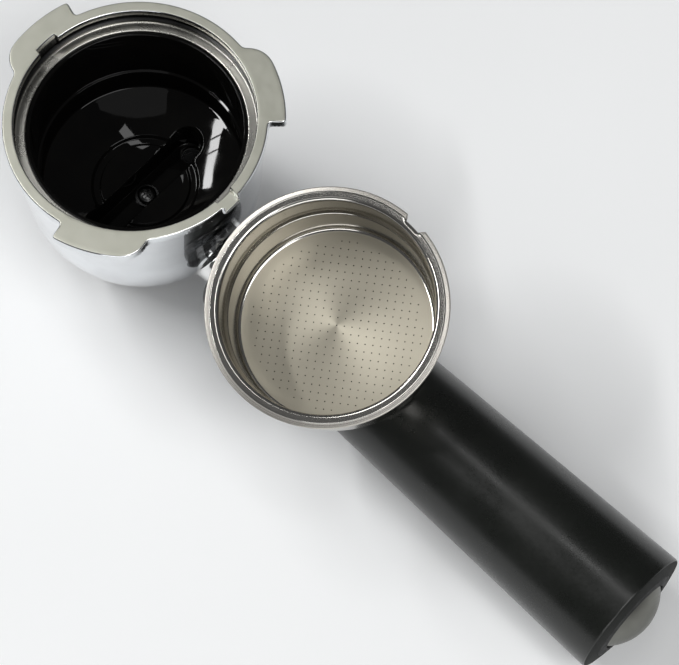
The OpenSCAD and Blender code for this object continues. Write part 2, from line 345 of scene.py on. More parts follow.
# ---- Materials ----
class Look:
    """One material: a Principled shader and the nodes that drive it, in the piece's own axes."""

    def __init__(self, name, color, roughness, **fixed):
        self.material = bpy.data.materials.new(name)
        self.material.use_nodes = True
        self.tree = self.material.node_tree
        self.shader = self.tree.nodes["Principled BSDF"]
        self.shader.inputs["Base Color"].default_value = (*color, 1)
        self.shader.inputs["Roughness"].default_value = roughness
        for socket, value in fixed.items():
            self.shader.inputs[socket.replace("_", " ")].default_value = value
        self.coords = self.tree.nodes.new("ShaderNodeTexCoord")
        self.place = self.coords.outputs["Object"]
        self.relief = None

    def node(self, kind, settings=None, **inputs):
        """Adds a node. An input is named, or is given by its number as i0, i1 and so on."""
        made = self.tree.nodes.new("ShaderNode" + kind)
        for key, value in (settings or {}).items():
            setattr(made, key, value)
        for key, value in inputs.items():
            numbered = key[0] == "i" and key[1:].isdigit()
            socket = made.inputs[int(key[1:]) if numbered else key]
            if isinstance(value, bpy.types.NodeSocket):
                self.tree.links.new(value, socket)
            else:
                socket.default_value = value
        return made

    def drive(self, socket, value):
        self.tree.links.new(value, self.shader.inputs[socket])

    def math(self, operation, a, b=0.0):
        return self.node("Math", {"operation": operation}, i0=a, i1=b).outputs[0]

    def product(self, first, *others):
        for other in others:
            first = self.math("MULTIPLY", first, other)
        return first

    def ramp(self, value, low, high, to_low=0.0, to_high=1.0):
        made = self.node("MapRange", {"interpolation_type": "SMOOTHSTEP"},
                         i0=value, i1=low, i2=high, i3=to_low, i4=to_high)
        return made.outputs[0]

    def past(self, length, low, high):
        """0 where a length is at low millimetres, and 1 where it is at high."""
        return self.ramp(length, low * MM, high * MM)

    def mixed(self, factor, a, b):
        """Colour a where factor is 0, and colour b where it is 1."""
        made = self.node("Mix", {"data_type": "RGBA"}, i0=factor)
        for socket, value in ((made.inputs[6], a), (made.inputs[7], b)):
            if isinstance(value, bpy.types.NodeSocket):
                self.tree.links.new(value, socket)
            else:
                socket.default_value = (*value, 1)
        return made.outputs[2]

    def height(self):
        """Height along the piece's Z axis, in metres."""
        return self.node("SeparateXYZ", i0=self.place).outputs["Z"]

    def radius(self):
        """Distance from the piece's Z axis, in metres."""
        flat = self.node("VectorMath", {"operation": "MULTIPLY"}, i0=self.place, i1=(1, 1, 0))
        return self.node("VectorMath", {"operation": "LENGTH"}, i0=flat.outputs[0]).outputs["Value"]

    def facing(self):
        """How far a face looks along the piece's Z axis, from -1 to 1."""
        return self.node("SeparateXYZ", i0=self.coords.outputs["Normal"]).outputs["Z"]

    def noise(self, size, detail=3, at=None, rough=0.5):
        """Noise whose blotches are about size millimetres."""
        made = self.node("TexNoise", Vector=at or self.place, Scale=1 / (size * MM), Detail=detail,
                         Roughness=rough)
        return made.outputs["Fac"]

    def rings(self, size):
        """Fine turned or drawn lines, which run around the piece's Z axis."""
        height = self.height()
        across = self.node("CombineXYZ", i0=self.radius(), i1=height).outputs[0]
        return self.noise(size, 2, across)

    def bump(self, height, depth):
        """Adds relief of that depth, in millimetres."""
        made = self.node("Bump", Strength=1.0, Distance=depth * MM, Height=height)
        if self.relief:
            self.tree.links.new(self.relief, made.inputs["Normal"])
        self.relief = made.outputs["Normal"]
        self.drive("Normal", self.relief)


def cast_chrome():
    """Bright plate on the cup, a satin face on top of the ring, and painted shade: the groove
    inside it coloured near-black.
    """
    look = Look("cast_chrome", (0.8, 0.8, 0.78), 0.1, Metallic=1.0)
    height, radius = look.height(), look.radius()
    satin = look.product(look.ramp(look.facing(), 0.8, 0.99), look.past(height, -3.5, -2.5))
    inside = look.product(
        look.past(radius, GROOVE_R + 0.4, GROOVE_R + 0.2), look.past(height, -0.5, -0.8),
        look.past(height, LEDGE_Z - 1.5, LEDGE_Z - 1), look.math("SUBTRACT", 1.0, satin))
    # Painted shade: this masks the groove under the ring's lip, which is coloured near-black below
    # as shade.
    groove = look.product(
        inside, look.past(radius, SEAT_R - 0.25, SEAT_R - 0.1),
        look.past(height, LEDGE_Z + 0.2, LEDGE_Z + 0.4),
        look.past(height, GROOVE_TOP + 0.3, GROOVE_TOP + 0.1))
    smudge = look.noise(9, 4)
    bright = look.mixed(look.ramp(smudge, 0.35, 0.7), (0.76, 0.78, 0.8), (0.7, 0.715, 0.735))
    dull = look.mixed(look.ramp(look.noise(5, 4), 0.3, 0.7),
                      (0.47, 0.47, 0.405), (0.51, 0.51, 0.445))
    machined = look.mixed(look.noise(3, 3), (0.56, 0.55, 0.51), (0.48, 0.47, 0.43))
    color = look.mixed(satin, bright, dull)
    color = look.mixed(inside, color, machined)
    # The groove's painted shade: a near-black colour in place of the metal's own.
    look.drive("Base Color", look.mixed(groove, color, (0.03, 0.03, 0.03)))
    polished = look.math("ADD", look.ramp(smudge, 0.3, 0.75, 0.05, 0.11), look.product(inside, 0.2))
    cast = look.ramp(look.noise(2.5, 3), 0.3, 0.7, 0.46, 0.53)
    rough = look.node("Mix", {"data_type": "FLOAT"}, i0=satin, i2=polished, i3=cast)
    look.drive("Roughness", rough.outputs[0])
    look.bump(look.noise(14, 2), 0.03)
    look.bump(look.product(look.noise(0.5, 3), satin), 0.006)
    return look.material


def plate_chrome():
    look = Look("plate_chrome", (0.8, 0.8, 0.79), 0.08, Metallic=1.0)
    smudge = look.noise(6, 4)
    look.drive("Base Color", look.mixed(smudge, (0.84, 0.84, 0.83), (0.74, 0.74, 0.735)))
    look.drive("Roughness", look.ramp(smudge, 0.3, 0.75, 0.06, 0.16))
    look.bump(look.rings(0.12), 0.0015)
    return look.material


def gloss_black():
    look = Look("gloss_black", (0.003, 0.003, 0.0035), 0.06, Specular_IOR_Level=0.17)
    haze = look.noise(7, 5)
    look.drive("Base Color", look.mixed(haze, (0.0012, 0.0012, 0.0015), (0.0045, 0.0042, 0.0036)))
    look.drive("Roughness", look.ramp(haze, 0.35, 0.75, 0.02, 0.06))
    look.bump(look.noise(11, 2), 0.04)
    return look.material


def moulded_black():
    look = Look("moulded_black", (0.015, 0.015, 0.016), 0.4, Specular_IOR_Level=0.2)
    look.drive("Base Color", look.mixed(look.noise(4, 4),
                                        (0.007, 0.007, 0.0075), (0.013, 0.013, 0.013)))
    look.drive("Roughness", look.ramp(look.noise(2, 3), 0.3, 0.7, 0.5, 0.64))
    look.bump(look.noise(0.35, 2), 0.01)
    return look.material


def grip_black():
    """Satin moulding, slightly green, with a fine grain. Its end is duller than its sides."""
    look = Look("grip_black", (0.005, 0.006, 0.005), 0.3, Specular_IOR_Level=0.5)
    worn = look.noise(18, 5, rough=0.6)
    look.drive("Base Color", look.mixed(worn, (0.0035, 0.0045, 0.0035), (0.0075, 0.0085, 0.007)))
    rubbed = look.ramp(worn, 0.35, 0.7, 0.27, 0.34)
    grain = look.ramp(look.noise(0.9, 3), 0.3, 0.7, -0.02, 0.02)
    end = look.ramp(look.facing(), 0.7, 0.93)
    sides = look.math("ADD", rubbed, grain)
    look.drive("Roughness", look.math("ADD", sides, look.product(end, 0.3)))
    look.drive("Specular IOR Level", look.ramp(end, 0, 1, 0.5, 0.12))
    look.bump(look.noise(0.45, 3), 0.006)
    look.bump(look.noise(9, 2), 0.03)
    return look.material


def rubber_grey():
    look = Look("rubber_grey", (0.09, 0.09, 0.09), 0.7)
    look.drive("Base Color", look.mixed(look.noise(1.5, 4),
                                        (0.07, 0.07, 0.07), (0.11, 0.11, 0.105)))
    look.drive("Roughness", look.ramp(look.noise(0.8, 2), 0.3, 0.7, 0.6, 0.8))
    look.bump(look.noise(0.2, 2), 0.01)
    return look.material


def turned_metal(name, dark, light, rough_low, rough_high):
    look = Look(name, light, rough_low, Metallic=1.0)
    lines = look.rings(0.1)
    look.drive("Base Color", look.mixed(look.noise(1.2, 3), dark, light))
    look.drive("Roughness", look.ramp(lines, 0.3, 0.7, rough_low, rough_high))
    look.bump(lines, 0.004)
    return look.material


def satin_cap():
    look = Look("satin_cap", (0.6, 0.6, 0.56), 0.34, Metallic=1.0)
    cloud = look.noise(3, 5)
    look.drive("Base Color", look.mixed(cloud, (0.15, 0.15, 0.135), (0.2, 0.2, 0.18)))
    lines = look.rings(0.14)
    look.drive("Roughness", look.ramp(lines, 0.3, 0.7, 0.3, 0.42))
    look.bump(lines, 0.002)
    look.bump(look.noise(5, 2), 0.02)
    return look.material


def drawn_steel():
    """Bright drawn sheet, with a duller lip around the basket's flange."""
    look = Look("drawn_steel", (0.74, 0.73, 0.7), 0.14, Metallic=1.0)
    lip = look.product(look.past(look.radius(), LIP_R - 0.1, LIP_R),
                       look.past(look.height(), -1.2, -1.1))
    bright = look.mixed(look.noise(8, 4), (0.44, 0.425, 0.395), (0.55, 0.535, 0.505))
    look.drive("Base Color", look.mixed(lip, bright, (0.46, 0.44, 0.405)))
    lines = look.rings(0.16)
    look.drive("Roughness", look.math("ADD", look.ramp(lines, 0.3, 0.7, 0.1, 0.17),
                                      look.ramp(lip, 0, 1, 0, 0.14)))
    look.bump(lines, 0.0004)
    look.bump(look.noise(13, 2), 0.012)
    return look.material


def spun_steel():
    """The basket's floor: fine rings from spinning, so its highlights fan out from the middle."""
    look = Look("spun_steel", (0.33, 0.31, 0.26), 0.42, Metallic=1.0, Anisotropic=0.55,
                Anisotropic_Rotation=0.25)
    tangent = look.node("Tangent", {"direction_type": "RADIAL", "axis": "Z"})
    look.drive("Tangent", tangent.outputs[0])
    lines = look.rings(0.09)
    look.drive("Base Color", look.mixed(look.product(lines, look.noise(5, 3)),
                                        (0.42, 0.392, 0.322), (0.35, 0.327, 0.264)))
    look.drive("Roughness", look.ramp(lines, 0.3, 0.7, 0.42, 0.48))
    look.bump(lines, 0.0003)
    return look.material


CAST = cast_chrome()
CHROME = plate_chrome()
GLOSS = gloss_black()
MOULDED = moulded_black()
GRIP = grip_black()
RUBBER = rubber_grey()
STEEL = turned_metal("turned_steel", (0.5, 0.5, 0.48), (0.68, 0.68, 0.66), 0.2, 0.38)
DARK_STEEL = turned_metal("dark_steel", (0.035, 0.035, 0.035), (0.075, 0.075, 0.075), 0.16, 0.3)
BRASS = turned_metal("turned_brass", (0.66, 0.48, 0.2), (0.86, 0.67, 0.33), 0.22, 0.4)
CAP = satin_cap()
DRAWN = drawn_steel()
SPUN = spun_steel()


# ---- Metal holder: ring, lugs and cup in one casting ----
def cup_radius(z):
    """Outside of the cup at a height below the ring."""
    below = CUP_TOP_R + (CUP_LOW_R - CUP_TOP_R) * (z + LUG_T) / (TURN_Z + LUG_T)
    drop = np.clip((z - TURN_Z) / (PAD_Z - TURN_Z), 0, 1)
    return np.where(z > TURN_Z, below, TURN_R + (CUP_LOW_R - TURN_R) * np.sqrt(1 - drop ** 2))


def closed_blur(values, sigma):
    """Gaussian blur of values along a closed curve, sigma in samples."""
    reach = int(4 * sigma)
    weights = np.exp(-0.5 * (np.arange(-reach, reach + 1) / sigma) ** 2)
    padded = np.concatenate([values[-reach:], values, values[:reach]])
    return np.convolve(padded, weights / weights.sum(), "valid")


def from_handle(azimuth):
    """The same angles, counted from the handle's side as -180 to 180."""
    return (azimuth + 180) % 360 - 180


def ring_corners():
    """Points around the ring and its lugs, with sharp corners."""
    corners = []
    for lug in LUG_AT:
        corners += [polar(RING_R, lug + LUG_LEAD), polar(LUG_R, lug + LUG_LEAD)]
        corners += list(polar(LUG_R, lug + np.linspace(LUG_LEAD, LUG_TAIL, 60)))
        middle = polar(LUG_R - LUG_TAIL_R, lug + LUG_TAIL)
        tail = middle + polar(LUG_TAIL_R, lug + LUG_TAIL + np.linspace(1, 110, 110))
        corners += [p for p in tail if np.hypot(*p) > RING_R]
        last = np.degrees(np.arctan2(corners[-1][1], corners[-1][0])) % 360
        last = last if last > lug else last + 360
        next_lug = lug + LUG_PITCH + LUG_LEAD
        corners += list(polar(RING_R, np.linspace(last + 0.5, next_lug - 0.1, 90)))
    return np.array(corners)


def ring_columns():
    """Points around the ring's outline, their outward normals, and the azimuth of each column."""
    corners = ring_corners()
    ends = np.roll(corners, -1, 0)
    along = np.concatenate([[0], np.cumsum(np.hypot(*(ends - corners).T))])
    at = np.arange(0, along[-1], OUTLINE_STEP)
    loop = np.vstack([corners, corners[:1]])
    outline = np.column_stack([
        closed_blur(np.interp(at, along, loop[:, k]), CORNER_BLUR / OUTLINE_STEP) for k in (0, 1)])
    by_slot = smoothstep((SLOT_W / 2 + 0.5 - np.abs(outline[:, 1])) / 0.7) * (outline[:, 0] > 0)
    outline *= 1 + (BRIDGE_OUT / RING_R * by_slot)[:, None]
    run = np.roll(outline, -1, 0) - np.roll(outline, 1, 0)
    normal = np.column_stack([run[:, 1], -run[:, 0]]) / np.hypot(*run.T)[:, None]
    azimuth = np.degrees(np.unwrap(np.arctan2(outline[:, 1], outline[:, 0])))
    even = even_angles(len(azimuth))
    azimuth = closed_blur(azimuth - even, TURNING_BLUR / OUTLINE_STEP) + even
    # Columns stand closer together at the walls of the slot and of the recess
    turned = from_handle(azimuth)
    slot_wall, recess_wall, reach, crowding = 4.4, 5.6, 0.8, 7
    near_slot = np.exp(-((np.abs(turned) - slot_wall) / reach) ** 2)
    near_recess = np.exp(-((180 - np.abs(turned) - recess_wall) / reach) ** 2)
    share = np.cumsum(1 + crowding * near_slot + crowding * near_recess)
    chosen = np.searchsorted(share, np.linspace(share[0], share[-1], RING_COLUMNS, endpoint=False))
    return outline[chosen], normal[chosen], azimuth[chosen]


def make_casting():
    outline, normal, azimuth = ring_columns()
    turned = from_handle(azimuth)

    def cut_across(radius, width, on_side):
        """1 in a cut that runs across the ring on one side, and 0 away from it."""
        across = np.where(on_side, np.abs(radius * np.sin(np.radians(turned))), radius)
        return smoothstep((width / 2 + WALL_BLEND - across) / (2 * WALL_BLEND))

    slot = cut_across(RING_R, SLOT_W, np.abs(turned) < 90)
    recess = cut_across(SEAT_R, RECESS_W, np.abs(turned) > 90)
    top = -SLOT_DROP * slot
    lip = SEAT_R + (GROOVE_R - SEAT_R) * recess
    near_slot = 1 - smoothstep((np.abs(turned) - 8) / 8)

    def around(r, z, straight=False):
        """A loop at radius r. With straight, the columns by the slot run along the handle."""
        angles = turned
        if straight:
            level = np.degrees(np.arcsin(np.clip(RING_R * np.sin(np.radians(turned)) / r, -1, 1)))
            angles = np.where(np.abs(turned) < 30, turned + (level - turned) * near_slot, turned)
        return with_z(polar(r, angles), z)

    def edge(inset, z):
        return with_z(outline - normal * inset, z)

    # From the cavity's floor up to the ledge, and through the groove to the bore's edge
    rows = [around(CAVITY_FLOOR_R + (CAVITY_R - CAVITY_FLOOR_R) * math.cos(a),
                   CAVITY_TURN_Z + (CAVITY_TURN_Z - CAVITY_FLOOR_Z) * math.sin(a))
            for a in np.linspace(-math.pi / 2, 0, 13)]
    rows.append(around(CAVITY_R, LEDGE_Z - 2))
    ledge = filleted([
        (CAVITY_R, LEDGE_Z - 1, 0), (CAVITY_R, LEDGE_Z, 0.3), (SEAT_R, LEDGE_Z - 0.15, 0.3),
        (SEAT_R, GROOVE_LOW, 0.12), (GROOVE_R, GROOVE_LOW + 0.6, 0.2)])
    rows += [around(r, z, True) for r, z in ledge]
    rows.append(around(GROOVE_R, GROOVE_TOP - 0.6, True))
    rows.append(around(np.maximum(lip, SEAT_R + 0.15), GROOVE_TOP - 0.06, True))
    rows.append(around(lip, GROOVE_TOP + 0.06, True))
    rows += [around(lip + gone, top - left, True) for gone, left in rounded_edge(BORE_EDGE_R, 6)]
    # Across the top, over the rim, and back under the lugs
    inner = around(lip + BORE_EDGE_R, top, True)
    outer = edge(RIM_EDGE_R, top)
    rows += [inner + (outer - inner) * t for t in (0.12, 0.35, 0.65, 0.88)]
    rows += [edge(left, top - gone) for gone, left in rounded_edge(RIM_EDGE_R, 8)]
    rows += [edge(gone, left - LUG_T) for gone, left in rounded_edge(UNDER_EDGE_R, 4)]
    inner = around(CUP_TOP_R + 0.05, -LUG_T)
    outer = edge(UNDER_EDGE_R, -LUG_T)
    rows += [outer + (inner - outer) * t for t in (0.3, 0.65, 1)]
    # Down the outside of the cup to its pad
    for z in (-LUG_T - 0.15, -LUG_T - 0.6, -8, -14, -20, TURN_Z + 1):
        rows.append(around(cup_radius(z), z))
    pad_turn = math.sqrt(1 - ((PAD_R - TURN_R) / (CUP_LOW_R - TURN_R)) ** 2)
    for a in np.linspace(0, math.asin(pad_turn), 25):
        z = TURN_Z + (PAD_Z - TURN_Z) * math.sin(a)
        rows.append(around(cup_radius(z), z))
    pad_turn_z = TURN_Z + (PAD_Z - TURN_Z) * pad_turn
    pad = filleted([
        (PAD_R + 1, pad_turn_z, 0), (PAD_R, pad_turn_z - 0.1, 0.1), (PAD_R, PAD_Z, 0.25),
        (PAD_R - 2, PAD_Z, 0)])
    rows += [around(r, z) for r, z in pad[1:-1]]

    shell = Shell()
    shell.strip(rows)
    holes = outlet_loops()
    shell.plate([rows[0], *holes], at_height(CAVITY_FLOOR_Z), outside_outlets)
    shell.plate([rows[-1], *holes], at_height(PAD_Z), outside_outlets)
    for hole in holes:
        shell.strip([with_z(hole, CAVITY_FLOOR_Z), with_z(hole, PAD_Z)])
    return piece("holder_casting", shell, IN_FRAME, "holder", [CAST],
                 ["filter_holder"])


def make_neck():
    """The arm between the cup and the grip, with a fillet where it leaves the cup."""
    steps = 96
    sunk = 1.5              # how far its root goes into the cup's wall
    angles = np.linspace(0, 2 * math.pi, steps, endpoint=False)

    def meets_cup(r):
        """How far along the handle a line at radius r comes out of the cup, for each angle."""
        low, high = np.full(steps, 10.0), np.full(steps, 45.0)
        tilt = math.radians(90 + HANDLE_TILT)
        for _ in range(40):
            s = (low + high) / 2
            x = r * np.cos(angles) * math.cos(tilt) + s * math.sin(tilt)
            y = r * np.sin(angles)
            z = -AXIS_DROP - r * np.cos(angles) * math.sin(tilt) + s * math.cos(tilt)
            outside = np.hypot(x, y) > cup_radius(z)
            high = np.where(outside, s, high)
            low = np.where(outside, low, s)
        return low

    def loop(r, s):
        return np.column_stack([r * np.cos(angles), r * np.sin(angles), np.broadcast_to(s, steps)])

    foot, root = meets_cup(NECK_R + NECK_FLARE), meets_cup(NECK_R)
    rows = [loop(NECK_R + NECK_FLARE - 1, foot - sunk)]
    for t in np.linspace(0, 1, 11):
        s = foot * (1 - t) ** 2 + root * 2 * t * (1 - t) + (root + NECK_FLARE) * t ** 2
        rows.append(loop(NECK_R + NECK_FLARE * (1 - t) ** 2, s))
    rows += [loop(NECK_R, s) for s in (COLLAR_AT + 0.5, GRIP_AT - 0.05)]
    square = np.maximum(np.abs(np.cos(angles)), np.abs(np.sin(angles)))
    rows += [loop(np.minimum(KEY_W / 2 / square, KEY_W * 0.66), s) for s in (GRIP_AT, KEY_END)]
    shell = Shell()
    shell.strip(rows)
    shell.cap(rows[0], (0, 0, foot.mean() - sunk))
    shell.cap(rows[-1], (0, 0, KEY_END))
    return piece("holder_neck", shell, ON_HANDLE, "holder", [CHROME], ["neck_stem"])


# ---- Liner ----
def slot_loop(half_width):
    """A round-ended slot across the handle's line."""
    side = np.linspace(-TROUGH_Y, TROUGH_Y, 60)[1:-1]
    end = np.linspace(0, 180, 33)
    return np.vstack([
        polar(half_width, end) + (0, TROUGH_Y),
        np.column_stack([np.full(len(side), -half_width), side[::-1]]),
        polar(half_width, end + 180) - (0, TROUGH_Y),
        np.column_stack([np.full(len(side), half_width), side])])


def from_slot(x, y):
    """Distance from the slot's middle line."""
    return np.hypot(x, np.maximum(np.abs(y) - TROUGH_Y, 0))


def dish_height(x, y):
    """The liner's floor: dished, with a round groove."""
    r = np.hypot(x, y)
    rise = np.clip((r - DISH_FLAT_R) / (LINER_LOW_R - DISH_FLAT_R), 0, 1)
    bowl = DISH_Z + (DISH_EDGE_Z - DISH_Z) * rise ** 1.35
    return bowl - DISH_GROOVE_DEPTH * smoothstep((1.25 - np.abs(r - DISH_GROOVE_R)) / 0.45)


def make_liner():
    edge_r = LINER_LOW_R - 0.9
    edge_z = float(dish_height(np.array([edge_r]), np.array([0.0]))[0])
    under_z = DISH_Z - LINER_T
    wall = filleted([
        (edge_r, edge_z, 0), (LINER_LOW_R, edge_z + 0.35, 0.7), (LINER_LOW_R, LINER_STEP_Z, 0.15),
        (LINER_BORE_R, LINER_STEP_Z + 0.25, 0.2), (LINER_BORE_R, LINER_TOP, 0.35),
        (LINER_OUT_R, LINER_TOP, 0.15), (LINER_OUT_R, CAVITY_TURN_Z + 0.2, 0),
        (26.3, DISH_EDGE_Z - LINER_T - 1, 0), (22, under_z, 0)])
    rows = [with_z(polar(r, even_angles(320)), z) for r, z in wall]
    shell = Shell()
    shell.strip(rows)

    half = TROUGH_W / 2
    lip_r = half + TROUGH_LIP_R
    lip = slot_loop(lip_r)
    lip_z = dish_height(*lip.T)
    trough = [with_z(slot_loop(half + left), lip_z - gone)
              for gone, left in rounded_edge(TROUGH_LIP_R, 6)]
    trough += [with_z(slot_loop(half - gone), TROUGH_Z + left)
               for gone, left in rounded_edge(TROUGH_FLOOR_R, 3)]
    shell.strip(trough)

    # Points inside the dish, closest together at its groove
    radii = np.concatenate([np.arange(0.8, 11, 0.8), np.arange(11.2, 14.3, 0.12),
                            np.arange(14.8, edge_r - 0.3, 0.55)])
    inner = np.vstack([polar(r, even_angles(200) + 0.9 * (i % 2)) for i, r in enumerate(radii)])
    inner = inner[from_slot(*inner.T) > lip_r + 0.2]
    shell.plate([rows[0], trough[0]], dish_height, lambda x, y: from_slot(x, y) > lip_r, inner)

    holes = outlet_loops()
    shell.plate([trough[-1], *holes], at_height(TROUGH_Z), outside_outlets)
    outer = slot_loop(half + TROUGH_WALL)
    shell.plate([outer, *holes], at_height(TROUGH_LOW), outside_outlets)
    shell.strip([with_z(outer, under_z), with_z(outer, TROUGH_LOW)])
    shell.plate([rows[-1], outer], at_height(under_z),
                lambda x, y: from_slot(x, y) > half + TROUGH_WALL)
    for loop in holes:
        shell.strip([with_z(loop, TROUGH_Z), with_z(loop, TROUGH_LOW)])
    return piece("cup_liner", shell, IN_FRAME, "holder", [GLOSS], ["liner"])


def make_centre_screw():
    """A small domed head with a cross in it."""
    head_z = TROUGH_Z + 0.6
    head_r, shank_r = 2.5, 2.0
    dome_h, cross_depth, cross_half, cross_reach = 0.9, 0.5, 0.42, 1.45
    ring = even_angles(128)
    rows = []
    for share in np.linspace(0.04, 1, 40):
        r = head_r * share
        loop = polar(r, ring)
        dome = head_z + 0.5 + dome_h * math.sqrt(1 - (share * 0.97) ** 2)
        from_cross = np.minimum(*np.abs(loop.T))
        cross = smoothstep((cross_half - from_cross) / 0.16) * smoothstep((cross_reach - r) / 0.2)
        rows.append(with_z(loop, dome - cross_depth * cross))
    for r, z in ((head_r, head_z + 0.3), (head_r - 0.15, head_z), (shank_r, head_z),
                 (shank_r, SCREW_END)):
        rows.append(with_z(polar(r, ring), z))
    shell = Shell()
    shell.strip(rows)
    shell.cap(rows[0], (0, 0, rows[0][0][2]))
    shell.cap(rows[-1], (0, 0, SCREW_END))
    return piece("liner_screw", shell, IN_FRAME, "holder", [DARK_STEEL],
                 ["centre_screw"])


# ---- Spout ----
def make_spout():
    """A round plate with a boss for the screw, two nozzles, and a web between them."""
    joined = SPOUT_LOW + 0.4
    shell = Shell()
    shell.revolve(filleted([(0, SPOUT_LOW, 0), (SPOUT_R, SPOUT_LOW, 0.8), (SPOUT_R, SPOUT_TOP, 0.2),
                            (0, SPOUT_TOP, 0)]))
    nozzle = filleted([(OUTLET_R, joined, 0), (OUTLET_R, REST_Z, 0.5), (4.4, REST_Z, 0.7),
                       (5.3, SPOUT_LOW - 0.3, 0.9), (6.8, joined, 0)], 8)
    boss = filleted([(0, BOSS_END, 0), (6.2, BOSS_END, 0.9), (6.5, SPOUT_LOW - 0.3, 1.0),
                     (8.2, joined, 0), (0, joined, 0)], 8)
    for profile, y in ((nozzle, OUTLET_Y), (nozzle, -OUTLET_Y), (boss, 0)):
        part = Shell()
        part.revolve(profile, 96)
        start = shell.add([(px, py + y, pz) for px, py, pz in part.points])
        shell.faces += [tuple(start + i for i in face) for face in part.faces]
    web_half, web_low, web_top = 1.5, SPOUT_LOW - 4, SPOUT_LOW + 0.3
    web = filleted([(-web_half, web_top, 0), (-web_half, web_low, 0.7), (web_half, web_low, 0.7),
                    (web_half, web_top, 0)])
    shell.strip([np.array([(x, y, z) for x, z in web]) for y in (3 - OUTLET_Y, OUTLET_Y - 3)])
    return piece("spout", shell, IN_FRAME, "holder", [MOULDED], ["twin_spout"])


# ---- Handle ----
def crown_z(r):
    """Place of the grip's crowned end along the axis, at a radius."""
    slope = math.radians(CROWN_SLOPE)
    run = GRIP_FAR_R - GRIP_EDGE_R
    crown_r = run / math.sin(slope) + GRIP_EDGE_R
    return GRIP_END - GRIP_EDGE_R - run / math.tan(slope) + math.sqrt(crown_r ** 2 - r ** 2)


CAP_SEAT = crown_z(CAP_R) - 1.2


def make_collar():
    bore_r, out_r, end = NECK_R + 0.05, GRIP_NEAR_R - 0.05, GRIP_AT - 0.05
    shell = Shell()
    shell.revolve(filleted([(bore_r, COLLAR_AT, 0.2), (COLLAR_R, COLLAR_AT, 0.5),
                            (out_r, COLLAR_AT + 1, 0.5), (out_r, end, 0.25), (bore_r, end, 0)]))
    return piece("collar", shell, ON_HANDLE, "holder", [DARK_STEEL], ["neck_collar"])


def make_grip():
    key_hole_end = KEY_END + 0.3
    crown = [(r, crown_z(r), 0) for r in np.linspace(16.5, PLUG_R + 0.6, 8)]
    profile = filleted([
        (KEY_HOLE_R, GRIP_AT, 0.2), (GRIP_NEAR_R, GRIP_AT, 0.6),
        (GRIP_FAR_R, crown_z(GRIP_FAR_R), GRIP_EDGE_R), *crown, (PLUG_R, crown_z(PLUG_R), 0.35),
        (PLUG_R, PLUG_SEAT, 0), (NUT_HOLE_R, PLUG_SEAT, 0.2), (NUT_HOLE_R, NUT_SEAT, 0),
        (ROD_HOLE_R, NUT_SEAT, 0), (ROD_HOLE_R, key_hole_end, 0),
        (KEY_HOLE_R, key_hole_end, 0)], 10)
    # Rings along the long side keep its shading even
    near_end = GRIP_AT + 2
    at = max(range(len(profile)), key=lambda i: profile[i][0] if profile[i][1] < near_end else 0)
    start, end = np.array(profile[at]), np.array(profile[at + 1])
    spread = [tuple(start + (end - start) * t) for t in np.linspace(0, 1, 26)[1:-1]]
    shell = Shell()
    shell.revolve(profile[:at + 1] + spread + profile[at + 1:], 256)
    return piece("grip", shell, ON_HANDLE, "holder", [GRIP], ["handle_grip"])


def make_end_plug():
    rod_r, hole_r, out_r, below_crown = 3.05, CAP_R + 0.1, PLUG_R - 0.05, 0.07
    shell = Shell()
    shell.revolve(filleted([
        (rod_r, PLUG_SEAT, 0), (out_r, PLUG_SEAT, 0), (out_r, crown_z(PLUG_R) - below_crown, 0.3),
        (hole_r, crown_z(hole_r) - below_crown, 0.2), (hole_r, CAP_SEAT, 0),
        (rod_r, CAP_SEAT, 0)]), 256)
    return piece("end_ring", shell, ON_HANDLE, "holder", [MOULDED], ["end_plug"])


def make_end_cap():
    """A dome on a low side, with a stud into the plug."""
    rise = CAP_H + 0.8
    dome_r = (CAP_R ** 2 + rise ** 2) / (2 * rise)
    rim = math.degrees(math.asin(CAP_R / dome_r))
    middle = CAP_SEAT + 0.4 + rise - dome_r
    dome = [(dome_r * math.sin(a), middle + dome_r * math.cos(a))
            for a in np.radians(np.linspace(0, rim - 2.2, 40))]
    stud_r, stud_end = 3, GRIP_END - 5.5
    side = filleted([(*dome[-1], 0), (CAP_R, CAP_SEAT + 0.35, 0.3), (CAP_R, CAP_SEAT, 0),
                     (stud_r, CAP_SEAT, 0)])
    shell = Shell()
    shell.revolve(dome + side[1:] + [(stud_r, stud_end), (0, stud_end)], 160)
    return piece("cap_dome", shell, ON_HANDLE, "holder", [CAP], ["end_cap"])


